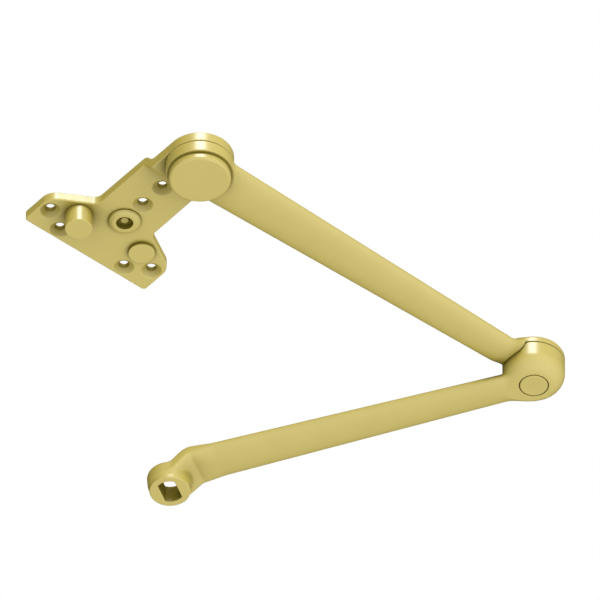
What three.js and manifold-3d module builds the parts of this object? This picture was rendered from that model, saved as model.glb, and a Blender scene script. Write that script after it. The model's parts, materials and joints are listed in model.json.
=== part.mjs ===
// Door closer arm: a soffit plate with a stop pin, a forearm and a main arm, in millimetres, +Z up.
// The origin is on the plate's mounting face, midway between its two stop positions.
// +X runs along the plate's long straight edge, and the whole assembly hangs below z = 0.

import * as THREE from 'three';
import { mergeVertices } from 'three/addons/utils/BufferGeometryUtils.js';
import Module from 'manifold-3d';

const wasm = await Module();
wasm.setup();

// ---- Driving dimensions ----

const GAP = 0.3;                                  // clearance between pieces that touch
const ROUND_SIDES = 40;                           // sides of a large round piece
const SMALL_SIDES = 24;                           // sides of a small round piece
const CUT_LOW = -60;                              // cutting solids reach below and above every piece
const CUT_HIGH = 10;

const PLATE = { thick: 6.2, halfLength: 47.8, edgeY: 25, endY: 1.1, waistX: 21.3, waistY: -14.1 };
const PLATE_CORNER = { edge: 2.5, end: 5, waist: 3 };
const SHOULDER = { y: -86, radius: 20.9, top: -6.7, bottom: -13.8 };
const RAMP = { lowStart: -58, lowEnd: -64.4, highStart: -59.8, highEnd: -65.4, bend: 1.5 };
const SCREW_HOLE = { radius: 2.8, sinkRadius: 6.45, sinkDepth: 2.85 };
const SCREW_HOLES = [                             // x, y and radius at the foot of the countersink
  [-40.1, 9, 3.1], [40.1, 9, 3.1], [-25.4, 17.7, 3.1], [25.4, 17.7, 3.1], [0, -31.2, 3.1], [0, -50.2, 2.8],
];

const STOP_X = 24.9;                              // the two stop positions, either side of the origin
const STOP_PIN = { radius: 8.6, bottom: -19.4, spigotRadius: 4.8, spigotHeight: 1.2, edge: 0.5 };
const STOP_SCREW = { headRadius: 5.8, headHeight: 3.1, radius: 2.9, end: -15.8, chamfer: 0.6 };
const STOP_SLOT = { width: 1.4, depth: 1.3 };
const PLUG = { radius: 8.2, proud: 2.4, stemRadius: 2.9, stemTop: -4.2, edge: 0.4 };
const CENTRE_BUSH = {
  y: -13.8, flangeRadius: 10.15, proud: 2.65, rim: 0.5, spigotRadius: 6.8, bore: 5.2, lip: 0.5,
};
const CENTRE_WEB = { low: -4.6, top: -0.6 };
const SET_SCREW = { radius: 2.7, chamfer: 0.4, end: -6.2, top: -0.9, slotWidth: 1, slotDepth: 1.2 };

const STUD = { radius: 6, headRadius: 10, headTop: -3.6, headEdge: 1, end: -24.4, chamfer: 0.6 };
const GROOVE = { top: -22.4, width: 1.1, depth: 0.8 };
const SNAP_RING = { thick: 0.85, reach: 2.4, mouth: 4.4, clearance: 0.15 };
const RING = { radius: 20.9, bottom: -22.2, edge: 0.4, levelRadius: 40 };
const CAP = { radius: 19.05, top: -22.65, bottom: -27.6, edge: 1.6, inner: 12.4, floor: 2.4 };
const CAP_SPIGOT = { radius: 13.6, top: -20.7 };
const THRUST = { radius: 15, thick: 1.15, seat: 1.5 };
const BUSH = { bore: 6.3, radius: 8.2 };
const SPRING_PACK = { radius: 11.6, pocket: 14, pocketTop: -18.8, washerThick: 0.7 };
const DISC_SPRING = { thick: 0.5, rise: 0.45, upper: -1.95, lower: -3.05 };

const FOREARM = { length: 267.4, axisZ: -18.0, halfThick: 4.2, wideNear: 17.15, taper: 0.0252 };
const LUG = { radius: 19.4, bottom: -13.8, top: -8.4, edge: 2.4, riseStart: 27, riseEnd: 17 };
const WEB = { length: 20, bend: 7, inset: 1.5, touch: 125 };
const SPOT_FACE = { radius: 19.7 };

const MAIN_ARM = {
  length: 238, turn: 120.6, axisZ: -28.8, halfThick: 4.5, wideElbow: 10.4, taper: 0.0175,
};
const HEAD = {
  radius: 19.3, top: -14.1, roundStart: -22.9, bottom: -33.2, crownRadius: 8.9, levelRadius: 60,
};
const EYE = {
  radius: 14.4, faceRadius: 12.7, edge: 2, halfThick: 4.9, bottom: -46.5,
  drop: 9.7, dropStart: 19, dropEnd: 1,
};
const SOCKET = { radius: 8.75, acrossFlats: 11 };
const RIVET = { radius: 6, headRadius: 8.75, headTop: -29.4, bottom: -33.6, edge: 0.5, top: -5.2 };
const RIVET_END = { radius: 8.6, height: 1.9, rim: 0.6, crownRadius: 5.2 };
const RIVET_WASHER = { radius: 11.5, thick: 0.9 };

const OVAL_POWER = 2.15;                          // 2 is an ellipse; more makes the arm's section squarer
const OVAL_SIDES = 24;
const BEND_STEPS = 10;                            // sections along a bend in an arm
const DOME_STEPS = 6;                             // rings of flats on a domed or rounded end

// ---- Solids ----

const DEG = Math.PI / 180;

function solid(geometry) {
  const bare = geometry.clone();
  bare.deleteAttribute('normal');
  bare.deleteAttribute('uv');
  const merged = mergeVertices(bare, 1e-4);
  return new wasm.Manifold(new wasm.Mesh({
    numProp: 3,
    vertProperties: new Float32Array(merged.attributes.position.array),
    triVerts: new Uint32Array(merged.index.array),
  }));
}

function join(first, ...others) {
  return others.reduce((sum, other) => sum.add(other), first);
}

function cut(first, ...others) {
  return others.reduce((rest, other) => rest.subtract(other), first);
}

function geometryOf(body) {
  const mesh = body.getMesh();
  const geometry = new THREE.BufferGeometry();
  geometry.setAttribute('position', new THREE.BufferAttribute(new Float32Array(mesh.vertProperties), 3));
  geometry.setIndex(new THREE.BufferAttribute(new Uint32Array(mesh.triVerts), 1));
  geometry.computeVertexNormals();
  return geometry;
}

// A solid turned about a vertical axis, from [radius, z] points that start and end on the axis.
function turned(profile, sides = ROUND_SIDES) {
  const points = profile.map(([radius, z]) => new THREE.Vector2(radius, z));
  const geometry = new THREE.LatheGeometry(points, sides);
  geometry.rotateX(Math.PI / 2);
  return solid(geometry);
}

function cylinder(radius, low, high, sides = ROUND_SIDES) {
  return turned([[0, low], [radius, low], [radius, high], [0, high]], sides);
}

// Points of a quarter round from angle a to angle b, in degrees, for use in a turned profile.
function arc(centreRadius, centreZ, radius, a, b, steps = 4) {
  return Array.from({ length: steps + 1 }, (_, i) => {
    const angle = (a + (b - a) * i / steps) * DEG;
    return [centreRadius + radius * Math.cos(angle), centreZ + radius * Math.sin(angle)];
  });
}

function washer(inner, outer, low, high, sides = ROUND_SIDES) {
  return cut(cylinder(outer, low, high, sides), cylinder(inner, low - 1, high + 1, sides));
}

// A closed outline through corners [x, y, radius], each corner rounded by an arc of its radius.
function roundedShape(corners) {
  const shape = new THREE.Shape();
  corners.forEach(([x, y, radius], i) => {
    const corner = new THREE.Vector2(x, y);
    const before = new THREE.Vector2(...corners.at(i - 1)).sub(corner).normalize();
    const after = new THREE.Vector2(...corners[(i + 1) % corners.length]).sub(corner).normalize();
    const half = Math.acos(THREE.MathUtils.clamp(before.dot(after), -1, 1)) / 2;
    const reach = radius / Math.tan(half);
    const from = corner.clone().addScaledVector(before, reach);
    const to = corner.clone().addScaledVector(after, reach);
    const centre = corner.clone().add(before.clone().add(after).setLength(radius / Math.sin(half)));
    const a = from.clone().sub(centre).angle();
    const b = to.clone().sub(centre).angle();
    if (i === 0) shape.moveTo(from.x, from.y);
    else shape.lineTo(from.x, from.y);
    if (radius > 0) shape.absarc(centre.x, centre.y, radius, a, b, before.cross(after) > 0);
  });
  shape.closePath();
  return shape;
}

function extruded(shape, low, high, curveSegments = 6) {
  const depth = high - low;
  const geometry = new THREE.ExtrudeGeometry(shape, { depth, bevelEnabled: false, curveSegments });
  geometry.translate(0, 0, low);
  return solid(geometry);
}

function smoothStep(x, start, end) {
  const t = THREE.MathUtils.clamp((x - start) / (end - start), 0, 1);
  return (1 - Math.cos(Math.PI * t)) / 2;
}

// A bar of oval section along +X, with a single bend from bendStart to bendEnd.
// Each of the rules gives a size at a distance x along the bar.
function ovalBar(length, bendStart, bendEnd, { centreZ, halfWidth, halfThick, slope = () => 0 }) {
  const step = (bendEnd - bendStart) / BEND_STEPS;
  const bend = Array.from({ length: BEND_STEPS + 1 }, (_, i) => bendStart + i * step);
  const stations = [0, bendStart / 2, ...bend, length];
  const last = stations.length - 1;
  const geometry = new THREE.CylinderGeometry(1, 1, last, OVAL_SIDES, last);
  geometry.rotateZ(-Math.PI / 2);
  geometry.translate(last / 2, 0, 0);
  const position = geometry.attributes.position;
  const oval = (c) => Math.sign(c) * Math.abs(c) ** (2 / OVAL_POWER);
  for (let i = 0; i < position.count; i += 1) {
    const x = stations[Math.round(position.getX(i))];
    const across = oval(position.getY(i)) * halfWidth(x);
    const up = oval(position.getZ(i)) * halfThick(x);
    const tilt = slope(x);
    position.setXYZ(i, x - up * Math.sin(tilt), across, centreZ(x) + up * Math.cos(tilt));
  }
  return solid(geometry);
}

// ---- Soffit plate and the pieces fixed to it ----

function plateOutline() {
  const half = [
    [PLATE.halfLength, PLATE.edgeY, PLATE_CORNER.edge],
    [PLATE.halfLength, PLATE.endY, PLATE_CORNER.end],
    [PLATE.waistX, PLATE.waistY, PLATE_CORNER.waist],
    [SHOULDER.radius, SHOULDER.y, 0],
  ];
  const mirrored = half.map(([x, y, radius]) => [-x, y, radius]).reverse();
  return roundedShape([...half, ...mirrored].reverse());
}

// The plate's side view, y across and z up: a flat, a ramp down and the shoulder's flat.
function plateProfile() {
  const far = PLATE.edgeY + 10;
  const near = SHOULDER.y - SHOULDER.radius - 10;
  const profile = roundedShape([
    [near, SHOULDER.bottom, 0], [RAMP.lowEnd, SHOULDER.bottom, RAMP.bend], [RAMP.lowStart, -PLATE.thick, 1],
    [far, -PLATE.thick, 0], [far, 0, 0], [RAMP.highStart, 0, RAMP.bend],
    [RAMP.highEnd, SHOULDER.top, RAMP.bend], [near, SHOULDER.top, 0],
  ]);
  const depth = 2 * PLATE.halfLength + 20;
  const geometry = new THREE.ExtrudeGeometry(profile, { depth, bevelEnabled: false, curveSegments: 5 });
  geometry.translate(0, 0, -depth / 2);
  geometry.rotateX(Math.PI / 2);
  geometry.rotateZ(Math.PI / 2);
  return solid(geometry);
}

function countersunk(x, y, throat) {
  return turned([
    [0, -PLATE.thick - 1], [SCREW_HOLE.sinkRadius, -PLATE.thick - 1], [SCREW_HOLE.sinkRadius, -PLATE.thick],
    [throat, -PLATE.thick + SCREW_HOLE.sinkDepth], [SCREW_HOLE.radius, 0], [SCREW_HOLE.radius, 1], [0, 1],
  ], SMALL_SIDES).translate([x, y, 0]);
}

// The hole at each stop position: a seat for a spigot below, a screw hole and a countersink above.
function stopHole(x) {
  const seat = STOP_PIN.spigotRadius + GAP;
  const clear = STOP_SCREW.radius + GAP;
  return turned([
    [0, -PLATE.thick - 1], [seat, -PLATE.thick - 1], [seat, -PLATE.thick + STOP_PIN.spigotHeight + GAP],
    [clear, -PLATE.thick + STOP_PIN.spigotHeight + GAP], [clear, -STOP_SCREW.headHeight - 2 * GAP],
    [STOP_SCREW.headRadius + GAP, -2 * GAP], [STOP_SCREW.headRadius + GAP, 1], [0, 1],
  ], SMALL_SIDES).translate([x, 0, 0]);
}

function soffitPlate() {
  const disc = cylinder(SHOULDER.radius, CUT_LOW, CUT_HIGH).translate([0, SHOULDER.y, 0]);
  const blank = join(extruded(plateOutline(), CUT_LOW, CUT_HIGH), disc).intersect(plateProfile());
  return cut(
    blank,
    ...SCREW_HOLES.map(([x, y, throat]) => countersunk(x, y, throat)),
    stopHole(-STOP_X),
    stopHole(STOP_X),
    cylinder(CENTRE_BUSH.spigotRadius + GAP, CUT_LOW, CUT_HIGH, SMALL_SIDES).translate([0, CENTRE_BUSH.y, 0]),
    cylinder(STUD.radius + GAP, CUT_LOW, CUT_HIGH, SMALL_SIDES).translate([0, SHOULDER.y, 0]),
  );
}

function stopPin() {
  const seat = -PLATE.thick - GAP;
  const body = turned([
    [0, STOP_PIN.bottom],
    ...arc(STOP_PIN.radius - STOP_PIN.edge, STOP_PIN.bottom + STOP_PIN.edge, STOP_PIN.edge, -90, 0, 3),
    [STOP_PIN.radius, seat], [STOP_PIN.spigotRadius, seat],
    [STOP_PIN.spigotRadius, -PLATE.thick + STOP_PIN.spigotHeight],
    [0, -PLATE.thick + STOP_PIN.spigotHeight],
  ]);
  return cut(body, cylinder(STOP_SCREW.radius + GAP, STOP_SCREW.end - 1, 0, SMALL_SIDES));
}

function stopScrew() {
  const body = turned([
    [0, STOP_SCREW.end], [STOP_SCREW.radius - STOP_SCREW.chamfer, STOP_SCREW.end],
    [STOP_SCREW.radius, STOP_SCREW.end + STOP_SCREW.chamfer],
    [STOP_SCREW.radius, -STOP_SCREW.headHeight - GAP], [STOP_SCREW.headRadius, -2 * GAP],
    [STOP_SCREW.headRadius, -GAP], [0, -GAP],
  ], SMALL_SIDES);
  const slot = new THREE.BoxGeometry(2 * STOP_SCREW.headRadius + 2, STOP_SLOT.width, 2 * STOP_SLOT.depth);
  slot.translate(0, 0, -GAP);
  return cut(body, solid(slot));
}

function holePlug() {
  const seat = -PLATE.thick - GAP;
  const face = -PLATE.thick - PLUG.proud;
  return turned([
    [0, face], ...arc(PLUG.radius - PLUG.edge, face + PLUG.edge, PLUG.edge, -90, 0, 3),
    [PLUG.radius, seat], [PLUG.stemRadius, seat],
    [PLUG.stemRadius, PLUG.stemTop], [0, PLUG.stemTop],
  ]);
}

// A domed, flanged bush, closed inside the plate by a web that holds a set screw.
function centreBush() {
  const seat = -PLATE.thick - GAP;
  const crown = -PLATE.thick - CENTRE_BUSH.proud;
  const rim = -PLATE.thick - CENTRE_BUSH.rim - GAP;
  const lip = CENTRE_BUSH.bore + CENTRE_BUSH.lip;
  const dome = Array.from({ length: DOME_STEPS + 1 }, (_, i) => {
    const t = i / DOME_STEPS;
    return [lip + (CENTRE_BUSH.flangeRadius - lip) * t, crown + (rim - crown) * t ** 2];
  });
  const body = turned([
    [0, crown], ...dome, [CENTRE_BUSH.flangeRadius, seat], [CENTRE_BUSH.spigotRadius, seat],
    [CENTRE_BUSH.spigotRadius, CENTRE_WEB.top], [0, CENTRE_WEB.top],
  ]);
  return cut(
    body,
    cylinder(CENTRE_BUSH.bore, CUT_LOW, CENTRE_WEB.low),
    cylinder(SET_SCREW.radius + GAP, CUT_LOW, CUT_HIGH, SMALL_SIDES),
  );
}

function setScrew() {
  const [radius, chamfer] = [SET_SCREW.radius, SET_SCREW.chamfer];
  const body = turned([
    [0, SET_SCREW.end], [radius - chamfer, SET_SCREW.end], [radius, SET_SCREW.end + chamfer],
    [radius, SET_SCREW.top], [0, SET_SCREW.top],
  ], SMALL_SIDES);
  const slot = new THREE.BoxGeometry(4 * radius, SET_SCREW.slotWidth, 2 * SET_SCREW.slotDepth);
  slot.translate(0, 0, SET_SCREW.top);
  return cut(body, solid(slot));
}

// ---- Shoulder joint, on its own axis ----

function shoulderStud() {
  const groove = STUD.radius - GROOVE.depth;
  const seat = SHOULDER.top + GAP;
  return turned([
    [0, STUD.end], [STUD.radius - STUD.chamfer, STUD.end], [STUD.radius, STUD.end + STUD.chamfer],
    [STUD.radius, GROOVE.top - GROOVE.width], [groove, GROOVE.top - GROOVE.width], [groove, GROOVE.top],
    [STUD.radius, GROOVE.top], [STUD.radius, seat], [STUD.headRadius, seat],
    ...arc(STUD.headRadius - STUD.headEdge, STUD.headTop - STUD.headEdge, STUD.headEdge, 0, 90, 3),
    [0, STUD.headTop],
  ]);
}

// A thin cone with a hole, as a disc spring is. The wider end is below when rise is positive.
function discSpring(low, rise) {
  const inner = STUD.radius + GAP;
  const outer = SPRING_PACK.radius;
  const [innerZ, outerZ] = rise > 0 ? [low + rise, low] : [low, low - rise];
  const thick = DISC_SPRING.thick;
  const points = [[inner, innerZ], [outer, outerZ], [outer, outerZ + thick], [inner, innerZ + thick]];
  const geometry = new THREE.LatheGeometry(
    [...points, points[0]].map(([radius, z]) => new THREE.Vector2(radius, z)),
    ROUND_SIDES,
  );
  geometry.rotateX(Math.PI / 2);
  return solid(geometry);
}

// An open ring that snaps into the stud's groove.
function retainingRing() {
  const top = GROOVE.top - (GROOVE.width - SNAP_RING.thick) / 2;
  const inner = STUD.radius - GROOVE.depth + SNAP_RING.clearance;
  const ring = washer(inner, STUD.radius + SNAP_RING.reach, top - SNAP_RING.thick, top);
  const mouth = new THREE.BoxGeometry(2 * STUD.radius, SNAP_RING.mouth, 4 * SNAP_RING.thick);
  mouth.translate(STUD.radius, 0, top);
  return cut(ring, solid(mouth));
}

function shoulderCap() {
  const body = turned([
    [0, CAP.bottom], ...arc(CAP.radius - CAP.edge, CAP.bottom + CAP.edge, CAP.edge, -90, 0),
    [CAP.radius, CAP.top], [CAP_SPIGOT.radius, CAP.top],
    [CAP_SPIGOT.radius, CAP_SPIGOT.top], [0, CAP_SPIGOT.top],
  ]);
  return cut(body, cylinder(CAP.inner, CAP.bottom + CAP.floor, 0));
}

// ---- Arms, each along +X from its own pivot ----

function forearmWidth(x) {
  return FOREARM.wideNear - FOREARM.taper * x;
}

// The web that spreads the forearm's end into its lug, in plan.
function lugWeb() {
  const start = FOREARM.length - WEB.length;
  const half = forearmWidth(start) - WEB.inset;
  const bend = start + WEB.bend;
  const touch = WEB.touch * DEG;
  const [x, y] = [FOREARM.length + LUG.radius * Math.cos(touch), LUG.radius * Math.sin(touch)];
  const shape = new THREE.Shape();
  shape.moveTo(start, -half);
  shape.quadraticCurveTo(bend, -half, x, -y);
  shape.lineTo(FOREARM.length, 0);
  shape.lineTo(x, y);
  shape.quadraticCurveTo(bend, half, start, half);
  shape.closePath();
  return extruded(shape, LUG.bottom, LUG.top - LUG.edge);
}

function forearm() {
  const rise = LUG.top - (FOREARM.axisZ + FOREARM.halfThick);
  const [start, end] = [FOREARM.length - LUG.riseStart, FOREARM.length - LUG.riseEnd];
  const lift = (x) => rise / 2 * smoothStep(x, start, end);
  const bar = ovalBar(FOREARM.length, start, end, {
    centreZ: (x) => FOREARM.axisZ + lift(x),
    halfWidth: forearmWidth,
    halfThick: (x) => FOREARM.halfThick + lift(x),
  });
  const ring = turned([
    [0, RING.bottom], ...arc(RING.radius - RING.edge, RING.bottom + RING.edge, RING.edge, -90, 0),
    [RING.radius, SHOULDER.bottom - GAP], [0, SHOULDER.bottom - GAP],
  ]);
  const lug = turned([
    [0, LUG.bottom], [LUG.radius, LUG.bottom],
    ...arc(LUG.radius - LUG.edge, LUG.top - LUG.edge, LUG.edge, 0, 90), [0, LUG.top],
  ]).translate([FOREARM.length, 0, 0]);
  const top = SHOULDER.bottom - GAP;
  const level = cylinder(RING.levelRadius, top, CUT_HIGH);
  const washerSeat = cylinder(THRUST.radius + GAP, top - THRUST.seat, CUT_HIGH);
  const bushBore = cylinder(BUSH.radius + GAP, CUT_LOW, CUT_HIGH);
  const pocket = cylinder(SPRING_PACK.pocket, CUT_LOW, SPRING_PACK.pocketTop);
  const spotFace = cylinder(SPOT_FACE.radius, CUT_LOW, LUG.bottom).translate([FOREARM.length, 0, 0]);
  const rivetBore = cylinder(RIVET.radius + GAP, CUT_LOW, CUT_HIGH, SMALL_SIDES)
    .translate([FOREARM.length, 0, 0]);
  const blank = cut(join(bar, ring), level);
  return cut(join(blank, lug, lugWeb()), washerSeat, bushBore, pocket, spotFace, rivetBore);
}

function mainArm() {
  const [start, end] = [MAIN_ARM.length - EYE.dropStart, MAIN_ARM.length - EYE.dropEnd];
  const centreZ = (x) => MAIN_ARM.axisZ - EYE.drop * smoothStep(x, start, end);
  const bar = ovalBar(MAIN_ARM.length, start, end, {
    centreZ,
    halfWidth: (x) => MAIN_ARM.wideElbow + MAIN_ARM.taper * x,
    halfThick: (x) => MAIN_ARM.halfThick + (EYE.halfThick - MAIN_ARM.halfThick) * smoothStep(x, start, end),
    slope: (x) => Math.atan(centreZ(x + 0.5) - centreZ(x - 0.5)),
  });
  const crown = HEAD.radius - HEAD.crownRadius;
  const quarter = Array.from({ length: DOME_STEPS + 1 }, (_, i) => {
    const angle = i / DOME_STEPS * 90 * DEG;
    return [
      HEAD.crownRadius + crown * Math.sin(angle),
      HEAD.bottom + (HEAD.roundStart - HEAD.bottom) * (1 - Math.cos(angle)),
    ];
  });
  const head = turned([[0, HEAD.bottom], ...quarter, [HEAD.radius, HEAD.top], [0, HEAD.top]]);

  const eyeTop = MAIN_ARM.axisZ - EYE.drop + EYE.halfThick;
  const eye = turned([
    [0, EYE.bottom], [EYE.faceRadius, EYE.bottom],
    ...arc(EYE.radius - EYE.edge, eyeTop - EYE.edge, EYE.edge, 0, 90), [0, eyeTop],
  ]).translate([MAIN_ARM.length, 0, 0]);

  const flats = new THREE.BoxGeometry(SOCKET.acrossFlats, 2 * SOCKET.radius + 2, -CUT_LOW);
  const socket = cylinder(SOCKET.radius, CUT_LOW, 0).intersect(solid(flats.translate(0, 0, CUT_LOW / 2)))
    .translate([MAIN_ARM.length, 0, 0]);
  const aboveHead = cylinder(HEAD.levelRadius, HEAD.top, CUT_HIGH);
  const trimmed = cut(join(bar, head, eye), aboveHead);
  return cut(
    trimmed,
    cylinder(THRUST.radius + GAP, HEAD.top - THRUST.seat, CUT_HIGH),
    cylinder(BUSH.radius + GAP, RIVET.headTop + GAP, CUT_HIGH),
    cylinder(BUSH.bore, CUT_LOW, CUT_HIGH, SMALL_SIDES),
    cylinder(RIVET.headRadius + GAP, CUT_LOW, RIVET.headTop + GAP),
    socket,
  );
}

// ---- Elbow joint ----

function elbowRivet() {
  const seat = RIVET.top - RIVET_END.height;
  return turned([
    [0, RIVET.bottom],
    ...arc(RIVET.headRadius - RIVET.edge, RIVET.bottom + RIVET.edge, RIVET.edge, -90, 0, 3),
    [RIVET.headRadius, RIVET.headTop], [RIVET.radius, RIVET.headTop], [RIVET.radius, seat],
    [RIVET_END.radius, seat], [RIVET_END.radius, seat + RIVET_END.rim],
    [RIVET_END.crownRadius, RIVET.top], [0, RIVET.top],
  ]);
}

// ---- Finishes ----

const satinBrassPaint = { color: 0xcbbc76, roughness: 0.42, metalness: 0.55 };
const plainSteel = { color: 0x9a9c9e, roughness: 0.38, metalness: 1 };
const springSteel = { color: 0x55585c, roughness: 0.45, metalness: 1 };
const sinteredBronze = { color: 0xa07848, roughness: 0.5, metalness: 1 };
const acetalPlastic = { color: 0x2d2d2f, roughness: 0.55, metalness: 0 };

function piece(name, body, finish) {
  const mesh = new THREE.Mesh(geometryOf(body), new THREE.MeshStandardMaterial(finish));
  mesh.name = name;
  return mesh;
}

function at(mesh, x, y, z = 0) {
  mesh.position.set(x, y, z);
  return mesh;
}

// ---- Assembly ----

const group = new THREE.Group();

group.add(
  piece('soffit_plate', soffitPlate(), satinBrassPaint),
  at(piece('stop_pin', stopPin(), satinBrassPaint), -STOP_X, 0),
  at(piece('stop_pin_screw', stopScrew(), plainSteel), -STOP_X, 0),
  at(piece('hole_plug', holePlug(), satinBrassPaint), STOP_X, 0),
  at(piece('centre_bush', centreBush(), satinBrassPaint), 0, CENTRE_BUSH.y),
  at(piece('centre_set_screw', setScrew(), satinBrassPaint), 0, CENTRE_BUSH.y),
);

const shoulder = new THREE.Group();
shoulder.position.set(0, SHOULDER.y, 0);
const washerTop = SHOULDER.bottom - GAP;
const bushTop = washerTop - THRUST.seat - GAP;
const packTop = SPRING_PACK.pocketTop - GAP;
shoulder.add(
  piece('shoulder_stud', shoulderStud(), plainSteel),
  piece('shoulder_thrust_washer', washer(
    BUSH.bore,
    THRUST.radius,
    washerTop - THRUST.thick,
    washerTop,
  ), acetalPlastic),
  piece('shoulder_bush', washer(BUSH.bore, BUSH.radius, packTop + GAP, bushTop), sinteredBronze),
  piece('shoulder_lower_washer', washer(
    BUSH.bore,
    SPRING_PACK.radius,
    packTop - SPRING_PACK.washerThick,
    packTop,
  ), plainSteel),
  piece('disc_spring_upper', discSpring(packTop + DISC_SPRING.upper, DISC_SPRING.rise), springSteel),
  piece('disc_spring_lower', discSpring(packTop + DISC_SPRING.lower, -DISC_SPRING.rise), springSteel),
  piece('retaining_ring', retainingRing(), springSteel),
  piece('shoulder_cap', shoulderCap(), satinBrassPaint),
);
group.add(shoulder);

shoulder.add(piece('forearm', forearm(), satinBrassPaint));

const elbow = new THREE.Group();
elbow.position.set(FOREARM.length, 0, 0);
shoulder.add(elbow);
elbow.add(
  piece('elbow_rivet', elbowRivet(), satinBrassPaint),
  piece('elbow_rivet_washer', washer(
    RIVET.radius + GAP,
    RIVET_WASHER.radius,
    LUG.top + GAP / 2,
    LUG.top + GAP / 2 + RIVET_WASHER.thick,
  ), plainSteel),
);

const mainFrame = new THREE.Group();
mainFrame.rotation.z = MAIN_ARM.turn * DEG;
mainFrame.add(
  piece('main_arm', mainArm(), satinBrassPaint),
  piece('elbow_thrust_washer', washer(
    BUSH.bore,
    THRUST.radius,
    HEAD.top - THRUST.thick,
    HEAD.top,
  ), acetalPlastic),
  piece('elbow_bush', washer(
    BUSH.bore,
    BUSH.radius,
    RIVET.headTop + 2 * GAP,
    HEAD.top - THRUST.seat - GAP,
  ), sinteredBronze),
);
elbow.add(mainFrame);

export default group;
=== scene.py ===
# Door closer arm: soffit plate, forearm and main arm, seen from below.
# The large forged pieces are surfaces of blended solids, and the round ones are turned profiles.

import json
import math

import bpy
import numpy as np
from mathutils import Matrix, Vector


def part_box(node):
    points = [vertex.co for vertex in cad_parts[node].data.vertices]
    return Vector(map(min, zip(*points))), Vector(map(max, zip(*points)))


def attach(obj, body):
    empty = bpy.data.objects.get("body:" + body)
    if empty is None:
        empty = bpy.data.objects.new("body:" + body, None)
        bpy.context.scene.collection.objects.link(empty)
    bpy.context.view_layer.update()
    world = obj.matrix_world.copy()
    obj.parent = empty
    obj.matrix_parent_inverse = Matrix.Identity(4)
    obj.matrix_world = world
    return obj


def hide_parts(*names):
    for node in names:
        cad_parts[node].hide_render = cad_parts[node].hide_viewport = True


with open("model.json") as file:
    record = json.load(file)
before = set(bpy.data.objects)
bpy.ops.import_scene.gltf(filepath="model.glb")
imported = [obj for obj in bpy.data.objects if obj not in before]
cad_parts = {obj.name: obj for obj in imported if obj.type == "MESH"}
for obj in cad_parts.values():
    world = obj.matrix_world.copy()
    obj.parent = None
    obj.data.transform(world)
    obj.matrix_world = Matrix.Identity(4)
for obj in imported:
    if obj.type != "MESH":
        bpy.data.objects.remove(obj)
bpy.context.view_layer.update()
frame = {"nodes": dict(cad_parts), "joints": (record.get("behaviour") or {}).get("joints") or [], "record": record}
record = frame["record"]
joints = {j["name"]: j for j in frame["joints"]}

MM = 0.001

# ---- Places, in millimetres, from the frame ----

shoulder = Vector(joints["shoulder_pivot"]["pos_m"]) / MM
elbow = Vector(joints["elbow_pivot"]["pos_m"]) / MM
socket_box = record["physics"]["openings"][0]["box_m"]
eye = (Vector(socket_box[0]) + Vector(socket_box[1])) / 2 / MM


def middle(node):
    low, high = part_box(node)
    return (low + high) / 2 / MM


def heights(node):
    low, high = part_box(node)
    return low.z / MM, high.z / MM


# ---- Blended solids: negative inside, distances in millimetres ----

def meet(a, b, r):
    """The space inside both, its edge rounded to radius r."""
    return np.minimum(-r, np.maximum(a, b)) + np.hypot(np.maximum(r + a, 0), np.maximum(r + b, 0))


def join(a, b, r):
    """The space inside either, its corner filled to radius r."""
    return np.maximum(r, np.minimum(a, b)) - np.hypot(np.maximum(r - a, 0), np.maximum(r - b, 0))


def flow(a, b, k):
    """The space inside either, one flowing into the other over about k."""
    h = np.maximum(k - np.abs(a - b), 0) / k
    return np.minimum(a, b) - h * h * k / 4


def cut(a, b, r=0.0):
    return meet(a, -b, r)


def ease(x, start, end):
    t = np.clip((x - start) / (end - start), 0, 1)
    return (1 - np.cos(np.pi * t)) / 2


def oval(across, up, half_width, half_thick, power):
    """Distance to a bar of oval section."""
    u = np.abs(across) / half_width + TINY
    v = np.abs(up) / half_thick + TINY
    g = (u ** power + v ** power) ** (1 / power)
    slope = np.hypot((u / g) ** (power - 1) / half_width, (v / g) ** (power - 1) / half_thick)
    return (g - 1) / slope


BORDER = 2.3            # grid steps of space left round a surface
SETTLING_PASSES = 5     # times that each point is moved on to the surface
LEAST_SLOPE = 0.05      # keeps a point from jumping where the field is nearly flat
TINY = 1e-6

CORNERS = [(i, j, k) for i in (0, 1) for j in (0, 1) for k in (0, 1)]
EDGES = [(a, b) for a in range(8) for b in range(a + 1, 8)
         if sum(abs(p - q) for p, q in zip(CORNERS[a], CORNERS[b])) == 1]


def gradient(field, points, reach=0.02):
    slopes = []
    for axis in range(3):
        step = np.zeros(3)
        step[axis] = reach
        slopes.append((field(*(points + step).T) - field(*(points - step).T)) / (2 * reach))
    return np.stack(slopes, 1)


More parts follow.
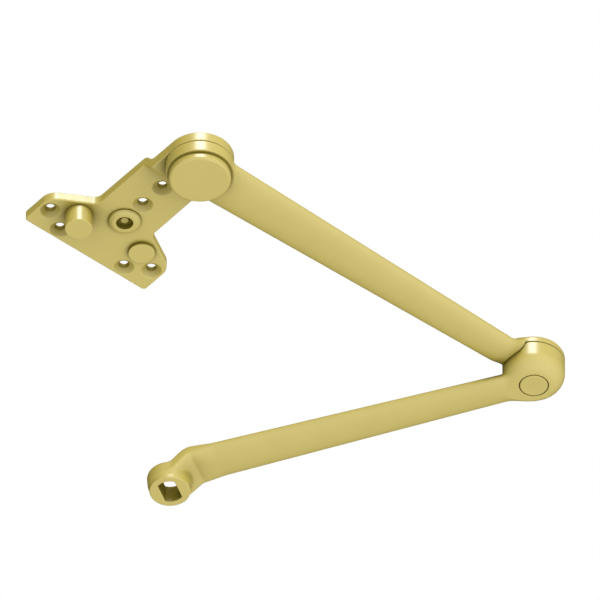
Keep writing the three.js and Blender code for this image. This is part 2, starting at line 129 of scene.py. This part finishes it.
def surface(field, low, high, step):
    """Points, quads and normals of the surface where field is 0, inside a box."""
    low = np.array(low, float) - BORDER * step
    counts = np.ceil((np.array(high) + BORDER * step - low) / step).astype(int) + 1
    axes = [low[i] + step * np.arange(counts[i]) for i in range(3)]
    values = field(axes[0][:, None, None], axes[1][None, :, None], axes[2][None, None, :])
    values = np.broadcast_to(values, counts)
    inside = values < 0
    n = counts - 1

    def corner(array, c):
        return array[c[0]:c[0] + n[0], c[1]:c[1] + n[1], c[2]:c[2] + n[2]]

    total = sum(corner(inside, c).astype(np.int8) for c in CORNERS)
    mixed = (total > 0) & (total < 8)
    cells = np.argwhere(mixed)
    index = np.full(n, -1)
    index[mixed] = np.arange(len(cells))
    at = [corner(values, c)[mixed] for c in CORNERS]
    spot = np.zeros((len(cells), 3))
    hits = np.zeros(len(cells))
    for a, b in EDGES:
        crossed = (at[a] < 0) != (at[b] < 0)
        t = at[a][crossed] / (at[a][crossed] - at[b][crossed])
        start = np.array(CORNERS[a])
        spot[crossed] += start + t[:, None] * (np.array(CORNERS[b]) - start)
        hits[crossed] += 1
    points = low + step * (cells + spot / hits[:, None])
    for _ in range(SETTLING_PASSES):
        slope = gradient(field, points)
        move = field(*points.T)[:, None] * slope / np.maximum((slope ** 2).sum(1), LEAST_SLOPE)[:, None]
        points = points - np.clip(move, -0.5 * step, 0.5 * step)
    quads = []
    for axis in range(3):
        u, v = (axis + 1) % 3, (axis + 2) % 3
        first = np.take(inside, np.arange(n[axis]), axis)
        second = np.take(inside, np.arange(1, n[axis] + 1), axis)
        places = np.argwhere(first != second)
        within = (places[:, [u, v]] > 0) & (places[:, [u, v]] < [n[u], n[v]])
        places = places[within.all(1)]
        leaving = first[tuple(places.T)]
        ring = []
        for du, dv in ((1, 1), (0, 1), (0, 0), (1, 0)):
            cell = places.copy()
            cell[:, u] -= du
            cell[:, v] -= dv
            ring.append(index[tuple(cell.T)])
        ring = np.stack(ring, 1)
        ring[~leaving] = ring[~leaving][:, ::-1]
        quads.append(ring)
    normals = gradient(field, points)
    normals /= np.linalg.norm(normals, axis=1)[:, None]
    return points, np.concatenate(quads), normals


def finish_piece(name, mesh, slot, body, *nodes):
    mesh.materials.append(finishes[slot])
    piece = bpy.data.objects.new(name, mesh)
    bpy.context.scene.collection.objects.link(piece)
    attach(piece, body)
    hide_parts(*nodes)
    return piece


def forged(name, field, low, high, step, slot, body, *nodes):
    """A piece whose surface is that of a blended solid."""
    points, quads, normals = surface(field, low, high, step)
    mesh = bpy.data.meshes.new(name)
    mesh.from_pydata((points * MM).tolist(), [], quads.tolist())
    mesh.shade_smooth()
    mesh.normals_split_custom_set_from_vertices(normals.tolist())
    return finish_piece(name, mesh, slot, body, *nodes)


def rounded_profile(corners, steps=6):
    """Pieces of a profile through corners (radius, height, rounding), each with the normals at its ends."""
    points = [np.array(c[:2], float) for c in corners]
    starts, arcs = [points[0]], []
    for i in range(1, len(points) - 1):
        back = points[i - 1] - points[i]
        ahead = points[i + 1] - points[i]
        back /= np.linalg.norm(back)
        ahead /= np.linalg.norm(ahead)
        half = math.acos(max(-1.0, min(1.0, float(back @ ahead)))) / 2
        reach = corners[i][2] / math.tan(half)
        starts += [points[i] + back * reach, points[i] + ahead * reach]
        centre = points[i] + (back + ahead) / np.linalg.norm(back + ahead) * corners[i][2] / math.sin(half)
        arcs.append((centre, starts[-2], starts[-1], corners[i][2]))
    starts.append(points[-1])
    parts = []
    for i in range(0, len(starts), 2):
        along = starts[i + 1] - starts[i]
        normal = np.array([along[1], -along[0]]) / np.linalg.norm(along)
        parts.append((starts[i], starts[i + 1], normal, normal))
        if i // 2 < len(arcs) and arcs[i // 2][3] > 0:
            centre, a, b, radius = arcs[i // 2]
            turn = np.cross((a - centre) / radius, (b - centre) / radius)
            side = math.copysign(1, float(normal @ (a - centre)))
            angle = math.asin(max(-1.0, min(1.0, float(turn))))
            previous = a
            facing = side * (a - centre) / radius
            for step in range(1, steps + 1):
                part = angle * step / steps
                c, s = math.cos(part), math.sin(part)
                spoke = np.array([[c, -s], [s, c]]) @ (a - centre)
                parts.append((previous, centre + spoke, facing, side * spoke / radius))
                previous = centre + spoke
                facing = side * spoke / radius
    return parts


def turned(name, corners, centre, slot, body, *nodes, sides=144):
    """A piece turned about the vertical through centre, from a profile that runs from bottom to top."""
    parts = rounded_profile(corners)
    heights_along = [parts[0][0]] + [p[1] for p in parts]
    angles = [2 * math.pi * i / sides for i in range(sides)]
    verts = []
    rings = []
    for radius, height in heights_along:
        if radius < TINY:
            rings.append([len(verts)] * sides)
            verts.append((centre[0] * MM, centre[1] * MM, height * MM))
            continue
        rings.append(list(range(len(verts), len(verts) + sides)))
        verts += [
            ((centre[0] + radius * math.cos(a)) * MM, (centre[1] + radius * math.sin(a)) * MM, height * MM)
            for a in angles
        ]
    faces, loops = [], []

    def facing(normal, i):
        a = angles[i % sides]
        return (normal[0] * math.cos(a), normal[0] * math.sin(a), normal[1])

    for k, (_, _, n0, n1) in enumerate(parts):
        lower, upper = rings[k], rings[k + 1]
        for i in range(sides):
            j = (i + 1) % sides
            face = [(lower[i], facing(n0, i)), (lower[j], facing(n0, j)), (upper[j], facing(n1, j)),
                    (upper[i], facing(n1, i))]
            kept = [v for m, v in enumerate(face) if v[0] != face[m - 1][0]]
            faces.append([v for v, _ in kept])
            loops += [n for _, n in kept]
    mesh = bpy.data.meshes.new(name)
    mesh.from_pydata(verts, [], faces)
    mesh.shade_smooth()
    mesh.normals_split_custom_set(loops)
    return finish_piece(name, mesh, slot, body, *nodes)


# ---- Materials ----

PATCH_SCALE = 60
GLOSS_SCALE = 260
GRAIN_SCALE, GRAIN_DETAIL, GRAIN_HEIGHT = 2600, 4, 0.00004
RIPPLE_SCALE, RIPPLE_DETAIL, RIPPLE_HEIGHT = 420, 2, 0.0002

SHADE_REACH = 0.045                     # metres within which other surfaces paint shade into a corner
SHADE_SAMPLES = 12
SHUT_IN, OPEN_OUT = 0.25, 0.94          # openness at which the painted shade is darkest, and gone
SHADE_POWER = 1.9
SHEEN_START, SHEEN_FULL = 0.50, 0.95    # openness at which the highlight starts, and is full; further in, painted shade dims it
FULL_SHEEN = 0.5
NOISE_LOW, NOISE_HIGH = 0.3, 0.7        # the range that most of a noise's values lie in


def add(tree, kind, **sockets):
    node = tree.nodes.new("ShaderNode" + kind)
    for name, value in sockets.items():
        node.inputs[name.replace("_", " ")].default_value = value
    return node


def noise(tree, place, scale, detail=3.0):
    node = add(tree, "TexNoise", Scale=scale, Detail=detail)
    tree.links.new(place, node.inputs["Vector"])
    return node.outputs["Fac"]


def spread(tree, value, low, high):
    """Stretches a noise value to run from low to high."""
    node = add(tree, "MapRange", From_Min=NOISE_LOW, From_Max=NOISE_HIGH, To_Min=low, To_Max=high)
    tree.links.new(value, node.inputs["Value"])
    return node.outputs["Result"]


def blend_colours(tree, factor, first, second):
    node = tree.nodes.new("ShaderNodeMix")
    node.data_type = "RGBA"
    node.inputs["A"].default_value = (*first, 1)
    node.inputs["B"].default_value = (*second, 1)
    tree.links.new(factor, node.inputs["Factor"])
    return node.outputs["Result"]


def finish(slot, tones, corners, roughness, metallic, grain, ripple, **sockets):
    """A material: two tones in soft patches, painted shade in corners that also dims the highlight there, with
    uneven gloss, grain and ripple.
    """
    material = bpy.data.materials.new(slot + "_finish")
    material.use_nodes = True
    tree = material.node_tree
    shader = tree.nodes["Principled BSDF"]
    shader.inputs["Metallic"].default_value = metallic
    for name, value in sockets.items():
        shader.inputs[name.replace("_", " ")].default_value = value
    place = tree.nodes.new("ShaderNodeTexCoord").outputs["Object"]
    patches = spread(tree, noise(tree, place, PATCH_SCALE), 0, 1)
    # Ambient occlusion paints shade: the colour goes toward the corner tone, a painted shade tone, where other
    # surfaces close a point in.
    hidden = add(tree, "AmbientOcclusion", Distance=SHADE_REACH)
    hidden.samples = SHADE_SAMPLES
    open_air = add(tree, "MapRange", From_Min=SHUT_IN, From_Max=OPEN_OUT, To_Min=0, To_Max=1)
    tree.links.new(hidden.outputs["AO"], open_air.inputs["Value"])
    colour = tree.nodes.new("ShaderNodeMix")
    colour.data_type = "RGBA"
    colour.inputs["A"].default_value = (*corners, 1)
    shade = add(tree, "Math")
    shade.operation = "POWER"
    shade.inputs[1].default_value = SHADE_POWER
    tree.links.new(open_air.outputs["Result"], shade.inputs[0])
    tree.links.new(shade.outputs["Value"], colour.inputs["Factor"])
    tree.links.new(blend_colours(tree, patches, *tones), colour.inputs["B"])
    tree.links.new(colour.outputs["Result"], shader.inputs["Base Color"])
    # The occlusion also paints shade on the highlight: the specular level drops in corners and holes.
    sheen = add(tree, "MapRange", From_Min=SHEEN_START, From_Max=SHEEN_FULL, To_Min=0, To_Max=FULL_SHEEN)
    tree.links.new(hidden.outputs["AO"], sheen.inputs["Value"])
    tree.links.new(sheen.outputs["Result"], shader.inputs["Specular IOR Level"])
    tree.links.new(spread(tree, noise(tree, place, GLOSS_SCALE), *roughness), shader.inputs["Roughness"])
    fine = add(tree, "Bump", Strength=grain, Distance=GRAIN_HEIGHT)
    tree.links.new(noise(tree, place, GRAIN_SCALE, GRAIN_DETAIL), fine.inputs["Height"])
    slow = add(tree, "Bump", Strength=ripple, Distance=RIPPLE_HEIGHT)
    tree.links.new(noise(tree, place, RIPPLE_SCALE, RIPPLE_DETAIL), slow.inputs["Height"])
    tree.links.new(fine.outputs["Normal"], slow.inputs["Normal"])
    tree.links.new(slow.outputs["Normal"], shader.inputs["Normal"])
    return material


LOOKS = {   # two tones, painted shade tone for corners, roughness, metallic, grain, ripple
    "satin_brass_paint": (
        ((0.56, 0.455, 0.090), (0.58, 0.472, 0.097)), (0.16, 0.125, 0.014), (0.31, 0.35), 0.0, 0.06, 0.03,
    ),
    "zinc_steel": (
        ((0.55, 0.56, 0.57), (0.66, 0.67, 0.68)), (0.16, 0.16, 0.16), (0.25, 0.38), 0.35, 0.5, 0.1,
    ),
    "spring_steel": (
        ((0.13, 0.135, 0.15), (0.22, 0.225, 0.24)), (0.03, 0.03, 0.03), (0.30, 0.45), 0.4, 0.5, 0.1,
    ),
    "sintered_bronze": (
        ((0.50, 0.33, 0.16), (0.60, 0.42, 0.23)), (0.12, 0.07, 0.03), (0.45, 0.60), 0.5, 1.0, 0.3,
    ),
    "acetal": (
        ((0.035, 0.035, 0.04), (0.06, 0.06, 0.065)), (0.01, 0.01, 0.01), (0.45, 0.55), 0.0, 0.6, 0.1,
    ),
}
PAINT_INDEX = 1.93      # refractive index that gives the paint its strong white highlight
finishes = {}
for look, values in LOOKS.items():
    sockets = {"IOR": PAINT_INDEX} if look == "satin_brass_paint" else {}
    finishes[look] = finish(look, *values, **sockets)
slots = {s["node"]: s["material_slot"] for s in record["subparts"]}
for node, thing in frame["nodes"].items():
    thing.data.materials.clear()
    thing.data.materials.append(finishes[slots[node]])


# ---- Soffit plate ----

FACE = -6.2             # the plate's lower face
STEP_FACE = -13.8       # its lower face at the shoulder, and the elbow lug's
PLATE_HALF, PLATE_BACK = 47.8, 25
NECK_HALF = 21.3
DISC_RADIUS = 20.9      # the plate's round end, and the forearm's ring
PIVOT_HOLE = 6.3
SINK_RADIUS, SINK_DEPTH, HOLE_RADIUS = 6.45, 2.85, 2.8
SLANT = (0.4976, 0.8674)
RAMP_LEAN = (0.7660, 0.6428)
RAMP_LOW, RAMP_HIGH = -58, -59.8
NECK_START, NECK_TAPER = -14.1, 0.0056
SLANT_START = 1.1
STEP_TOP = -6.7
SEAT_RADIUS, SEAT_DEPTH = 5.1, 1.5
THREAD_HOLE, COLLAR_SINK, COLLAR_FLAT = 3.2, 6.1, 0.6
BUSH_HOLE = 7.1
HALF_ROOT = 0.7071
GAP = 0.3               # between a fitted piece and the plate's lower face
SCREW_HOLES = [                                   # x, y and radius at the foot of the countersink
    (-40.1, 9, 3.1), (40.1, 9, 3.1), (-25.4, 17.7, 3.1), (25.4, 17.7, 3.1), (0, -31.2, 3.1), (0, -50.2, 2.8),
]
plate_low, plate_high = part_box("soffit_plate")
pin = middle("stop_pin")
plug = middle("hole_plug")
bush = middle("centre_bush")


def plate_outline(x, y):
    across = np.abs(x)
    bar = meet(across - PLATE_HALF, y - PLATE_BACK, 2.5)
    slanted = (across - PLATE_HALF) * SLANT[0] - (y - SLANT_START) * SLANT[1]
    head = meet(bar, slanted, 5)
    side = across - NECK_HALF - (y - NECK_START) * NECK_TAPER
    neck = np.maximum(side, np.maximum(y, shoulder.y - y))
    disc = np.hypot(x, y - shoulder.y) - DISC_RADIUS
    return join(head, np.minimum(neck, disc), 3)


def plate_faces(y, z):
    ramp = (y - RAMP_LOW) * RAMP_LEAN[0] - (z - FACE) * RAMP_LEAN[1]
    below = join(FACE - z, meet(ramp, STEP_FACE - z, 1.5), 0.3)
    slope = z * RAMP_LEAN[1] - (y - RAMP_HIGH) * RAMP_LEAN[0]
    above = join(meet(z, slope, 2), z - STEP_TOP, 2)
    return below, above


def plate_field(x, y, z):
    outline = plate_outline(x, y)
    below, above = plate_faces(y, z)
    body = meet(meet(outline, below, 0.8), above, 0.5)
    for hx, hy, foot in SCREW_HOLES:
        radius = np.hypot(x - hx, y - hy)
        lean = (SINK_RADIUS - foot) / SINK_DEPTH
        sink = (radius - SINK_RADIUS + lean * (z - FACE)) / math.hypot(1, lean)
        lean = (foot - HOLE_RADIUS) / (-FACE - SINK_DEPTH)
        throat = (radius - HOLE_RADIUS + lean * z) / math.hypot(1, lean)
        body = cut(body, np.minimum(sink, throat), 0.3)
    for stop_x in (pin.x, plug.x):
        radius = np.hypot(x - stop_x, y - pin.y)
        seat = np.maximum(radius - SEAT_RADIUS, z - FACE - SEAT_DEPTH)
        sink = (radius - COLLAR_SINK - z - COLLAR_FLAT) * HALF_ROOT
        body = cut(body, np.minimum(np.minimum(seat, radius - THREAD_HOLE), sink), 0.2)
    body = cut(body, np.hypot(x - bush.x, y - bush.y) - BUSH_HOLE, 0.2)
    return cut(body, np.hypot(x, y - shoulder.y) - PIVOT_HOLE, 0.2)


plate_step = 0.45
forged("soffit_plate_body", plate_field, plate_low / MM, plate_high / MM, plate_step,
       "satin_brass_paint", "soffit", "soffit_plate")

low, high = heights("stop_pin")
turned("stop_pin_body", [
    (0, low, 0), (8.6, low, 0.6), (8.6, FACE - GAP, 0.25), (4.8, FACE - GAP, 0),
    (4.8, high, 0.2), (0, high, 0),
], pin, "satin_brass_paint", "soffit", "stop_pin")

low, high = heights("hole_plug")
turned("hole_plug_body", [
    (0, low, 0), (8.2, low, 0.5), (8.2, FACE - GAP, 0.25), (2.9, FACE - GAP, 0),
    (2.9, high, 0.2), (0, high, 0),
], plug, "satin_brass_paint", "soffit", "hole_plug")

low, high = heights("centre_bush")
turned("centre_bush_body", [
    (3, -4.6, 0), (5.2, -4.6, 0.2), (5.2, low, 0.5), (7.4, low, 2), (9.4, low + 0.95, 2),
    (10.15, FACE - 0.8, 0.3), (10.15, FACE - GAP, 0.2), (6.8, FACE - GAP, 0), (6.8, high, 0.3),
    (3, high, 0.2), (3, -4.6, 0),
], bush, "satin_brass_paint", "soffit", "centre_bush")

# ---- Shoulder ----

low, high = heights("shoulder_cap")
turned("shoulder_cap_body", [
    (0, low, 0), (19.05, low, 1.7), (19.05, -22.65, 0.3), (13.6, -22.65, 0), (13.6, high, 0.3),
    (12.4, high, 0.3), (12.4, low + 2.4, 0.4), (0, low + 2.4, 0),
], shoulder, "satin_brass_paint", "forearm", "shoulder_cap")

low, high = heights("shoulder_stud")
turned("shoulder_stud_body", [
    (0, low, 0), (6, low, 0.6), (6, -23.5, 0.1), (5.2, -23.5, 0), (5.2, -22.4, 0), (6, -22.4, 0.1),
    (6, -6.4, 0), (10, -6.4, 0.2), (10, high, 1.2), (0, high, 0),
], shoulder, "zinc_steel", "soffit", "shoulder_stud")


RING_FACE = -22.2       # the forearm ring's lower face
BAR_MIDDLE = -18
BAR_TOP = -14.1         # the forearm's top under the plate, and the main arm's highest level
SHOULDER_HALF, BAR_TAPER, BAR_HALF_THICK, BAR_POWER = 17.15, 0.0252, 4.2, 2.15
LIFT, LIFT_START, LIFT_END = 2.7, 27, 17
CLEAR_RISE, CLEAR_START, CLEAR_END = 8, 30, 60
LUG_RADIUS, LUG_TOP = 19.4, -8.4
SPOT_FACE = 19.7
WASHER_RADIUS, WASHER_FACE = 15.3, -15.6
LOWER_POCKET, LOWER_POCKET_TOP = 14, -18.8
BUSH_RADIUS = 8.5


def forearm_field(x, y, z):
    along, across = x - shoulder.x, y - shoulder.y
    length = elbow.x - shoulder.x
    hub = np.hypot(along, across)
    reach = np.hypot(along - length, across)
    lift = LIFT * ease(along, length - LIFT_START, length - LIFT_END)
    half_width = SHOULDER_HALF - BAR_TAPER * along
    bar = oval(across, z - BAR_MIDDLE - lift, half_width, BAR_HALF_THICK + lift, BAR_POWER)
    bar = meet(np.maximum(bar, -along), along - length, 1)
    ring = meet(hub - DISC_RADIUS, RING_FACE - z, 0.4)
    body = np.maximum(flow(bar, ring, 2.5), RING_FACE - z)
    body = meet(body, z - BAR_TOP - CLEAR_RISE * ease(hub, CLEAR_START, CLEAR_END), 0.4)
    lug = meet(meet(reach - LUG_RADIUS, z - LUG_TOP, 2.4), STEP_FACE - z, 0.2)
    body = flow(body, lug, 4)
    body = cut(body, np.maximum(reach - SPOT_FACE, z - STEP_FACE), 0.4)
    body = cut(body, np.maximum(hub - WASHER_RADIUS, WASHER_FACE - z))
    body = cut(body, np.maximum(hub - LOWER_POCKET, z - LOWER_POCKET_TOP))
    return cut(np.maximum(body, BUSH_RADIUS - hub), reach - PIVOT_HOLE, 0.2)


low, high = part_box("forearm")
arm_step = 0.5
forged("forearm_body", forearm_field, low / MM, high / MM, arm_step,
       "satin_brass_paint", "forearm", "forearm")

# ---- Elbow and main arm ----

reach_out = eye - elbow
span = math.hypot(reach_out.x, reach_out.y)
heading = (reach_out.x / span, reach_out.y / span)


ARM_MIDDLE, ARM_HALF, ARM_WIDENING, ARM_HALF_THICK = -28.8, 10.4, 0.0175, 4.5
DROP, DROP_START, DROP_END = 9.7, 19, 1
ARM_POWER, SQUARER = 2.15, 2.6
SQUARE_START, SQUARE_END = 34, 12
NARROW_START = 16
HEAD_RADIUS, HEAD_FACE, HEAD_BLEND_FACE, HEAD_EDGE = 19.3, -33.3, -33.2, 10.35
EYE_RADIUS, EYE_TAPER, EYE_TOP, EYE_FACE = 14.4, 0.132, -33.6, -46.5
SOCKET_RADIUS, SOCKET_HALF = 8.75, 5.5
RIVET_HOLE, RIVET_SEAT = 9.1, -29.1


def main_field(x, y, z):
    """The main arm laid along +X from its elbow."""
    near = np.hypot(x, y)
    far = np.hypot(x - span, y)
    turn = ease(x, span - DROP_START, span - DROP_END)
    run = DROP_START - DROP_END
    steepest = DROP * np.pi / (2 * run)
    slope = steepest * np.sin(np.pi * np.clip((x - span + DROP_START) / run, 0, 1))
    up = (z - ARM_MIDDLE + DROP * turn) / np.sqrt(1 + slope ** 2)
    power = ARM_POWER + SQUARER * ease(x, span - SQUARE_START, span - SQUARE_END)
    across = np.hypot(np.maximum(x - span, 0), y)
    half_width = ARM_HALF + ARM_WIDENING * np.minimum(x, span) - ease(x, span - NARROW_START, span)
    bar = oval(across, up, half_width, ARM_HALF_THICK + 0.4 * turn, power)
    bar = np.maximum(bar, -x)
    head = meet(near - HEAD_RADIUS, HEAD_BLEND_FACE - z, HEAD_EDGE)
    neck = 7 - 4.5 * ease(y, -8, 8)
    body = np.maximum(flow(bar, head, neck), HEAD_FACE - z - 20 * ease(x, 30, 50))
    body = meet(body, z - BAR_TOP, 0.4)
    wall = far - EYE_RADIUS - (z - EYE_TOP) * EYE_TAPER
    boss = meet(meet(wall, EYE_FACE - z, 0.5), z - EYE_TOP, 2)
    body = flow(body, boss, 1.5)
    body = cut(body, np.maximum(far - SOCKET_RADIUS, np.abs(x - span) - SOCKET_HALF), 0.3)
    body = cut(body, np.maximum(near - WASHER_RADIUS, WASHER_FACE - z))
    body = cut(body, np.maximum(near - BUSH_RADIUS, RIVET_SEAT - z))
    body = cut(body, np.maximum(near - RIVET_HOLE, z - RIVET_SEAT), 0.4)
    return np.maximum(body, PIVOT_HOLE - near)


def to_frame(points):
    """From the main arm's own lie to its place in the frame."""
    c, s = heading
    x, y, z = points.T
    return np.stack([elbow.x + c * x - s * y, elbow.y + s * x + c * y, z], 1)


arm_low, arm_high = (-LUG_RADIUS, -LUG_RADIUS, EYE_FACE), (span + 14.5, LUG_RADIUS, BAR_TOP)
points, quads, normals = surface(main_field, arm_low, arm_high, arm_step)
mesh = bpy.data.meshes.new("main_arm_body")
mesh.from_pydata((to_frame(points) * MM).tolist(), [], quads.tolist())
mesh.shade_smooth()
straight = to_frame(normals) - to_frame(np.zeros((1, 3)))
mesh.normals_split_custom_set_from_vertices(straight.tolist())
finish_piece("main_arm_body", mesh, "satin_brass_paint", "main_arm", "main_arm")

low, high = heights("elbow_rivet")
turned("elbow_rivet_body", [
    (0, low, 0), (8.75, low, 0.9), (8.75, -29.4, 0.2), (6, -29.4, 0), (6, high - 1.9, 0),
    (8.6, high - 1.9, 0.1), (8.6, high - 1.3, 0.4), (5.2, high, 3), (0, high, 0),
], elbow, "satin_brass_paint", "forearm", "elbow_rivet")

# ---- Floor, light and camera ----

centre = Vector((0.1100, -0.0498, -0.0321))
to_camera = Vector((-0.4520, -0.5406, -0.7096)).normalized()
key_direction = Vector((-0.4520, -0.5406, 0.7096))
top_direction = Vector((0.35, 0.45, 0.82))
LIGHT_DISTANCE = 2.0
KEY_SIZE, KEY_RADIANCE = 0.8, 11.0
TOP_SIZE, TOP_RADIANCE = 1.6, 1.6
CAMERA_LENS, CAMERA_DISTANCE = 1300, 13.29
STUDIO_DIRECTION = (0.0, -0.70, -0.75)                  # the side that the studio is brightest on
STUDIO_FROM, STUDIO_TO = (-0.72, 1.03), (0.03, 1.78)    # from the dark side to the bright side


def aim(thing, target, direction, distance):
    thing.location = target + direction.normalized() * distance
    thing.rotation_mode = "QUATERNION"
    thing.rotation_quaternion = direction.to_track_quat("Z", "Y")


def softbox(name, direction, size, radiance):
    light = bpy.data.lights.new(name, "AREA")
    light.shape = "DISK"
    light.size = size
    light.energy = radiance * math.pi * math.pi * (size / 2) ** 2
    lamp = bpy.data.objects.new(name, light)
    bpy.context.scene.collection.objects.link(lamp)
    aim(lamp, centre, direction, LIGHT_DISTANCE)
    lamp.visible_camera = False
    return lamp


softbox("key_light", key_direction, KEY_SIZE, KEY_RADIANCE)
top_light = softbox("top_light", top_direction, TOP_SIZE, TOP_RADIANCE)
top_light.visible_glossy = False

# The floor shows only from above it, so that the camera can look up at the arm through it.
FLOOR_HALF, FLOOR_Z = 6.0, -0.15
floor_mesh = bpy.data.meshes.new("floor")
signs = ((-1, -1), (1, -1), (1, 1), (-1, 1))
floor_mesh.from_pydata([(x * FLOOR_HALF, y * FLOOR_HALF, FLOOR_Z) for x, y in signs], [], [(0, 1, 2, 3)])
floor = bpy.data.objects.new("floor", floor_mesh)
bpy.context.scene.collection.objects.link(floor)
floor.visible_diffuse = False
floor.visible_glossy = False
floor.visible_shadow = False
pale = bpy.data.materials.new("floor_pale")
pale.use_nodes = True
tree = pale.node_tree
paint = tree.nodes["Principled BSDF"]
paint.inputs["Base Color"].default_value = (0.80, 0.80, 0.79, 1)
paint.inputs["Roughness"].default_value = 0.9
paint.inputs["Specular IOR Level"].default_value = 0.1
paint.inputs["Emission Color"].default_value = (1, 1, 0.99, 1)
paint.inputs["Emission Strength"].default_value = 0.35
clear = tree.nodes.new("ShaderNodeBsdfTransparent")
under = tree.nodes.new("ShaderNodeNewGeometry").outputs["Backfacing"]
sided = tree.nodes.new("ShaderNodeMixShader")
tree.links.new(under, sided.inputs["Fac"])
tree.links.new(paint.outputs["BSDF"], sided.inputs[1])
tree.links.new(clear.outputs["BSDF"], sided.inputs[2])
tree.links.new(sided.outputs["Shader"], tree.nodes["Material Output"].inputs["Surface"])
floor_mesh.materials.append(pale)

world = bpy.data.worlds.new("studio")
bpy.context.scene.world = world
world.use_nodes = True
tree = world.node_tree
backdrop = tree.nodes["Background"]
backdrop.inputs["Color"].default_value = (1, 1, 1, 1)
studio = tree.nodes.new("ShaderNodeBackground")
sky = tree.nodes.new("ShaderNodeTexCoord").outputs["Generated"]
side = tree.nodes.new("ShaderNodeVectorMath")
side.operation = "DOT_PRODUCT"
side.inputs[1].default_value = STUDIO_DIRECTION
tree.links.new(sky, side.inputs[0])
level = add(
    tree, "MapRange",
    From_Min=STUDIO_FROM[0], From_Max=STUDIO_FROM[1], To_Min=STUDIO_TO[0], To_Max=STUDIO_TO[1],
)
tree.links.new(side.outputs["Value"], level.inputs["Value"])
tree.links.new(level.outputs["Result"], studio.inputs["Strength"])
seen = tree.nodes.new("ShaderNodeLightPath").outputs["Is Camera Ray"]
choice = tree.nodes.new("ShaderNodeMixShader")
tree.links.new(seen, choice.inputs["Fac"])
tree.links.new(studio.outputs["Background"], choice.inputs[1])
tree.links.new(backdrop.outputs["Background"], choice.inputs[2])
tree.links.new(choice.outputs["Shader"], tree.nodes["World Output"].inputs["Surface"])

camera_data = bpy.data.cameras.new("camera")
camera_data.sensor_width = 36
camera_data.lens = CAMERA_LENS
camera_data.clip_start = 0.1
camera_data.clip_end = 100
camera = bpy.data.objects.new("camera", camera_data)
bpy.context.scene.collection.objects.link(camera)
aim(camera, centre, to_camera, CAMERA_DISTANCE)
bpy.context.scene.camera = camera
bpy.context.scene.view_settings.view_transform = "Standard"
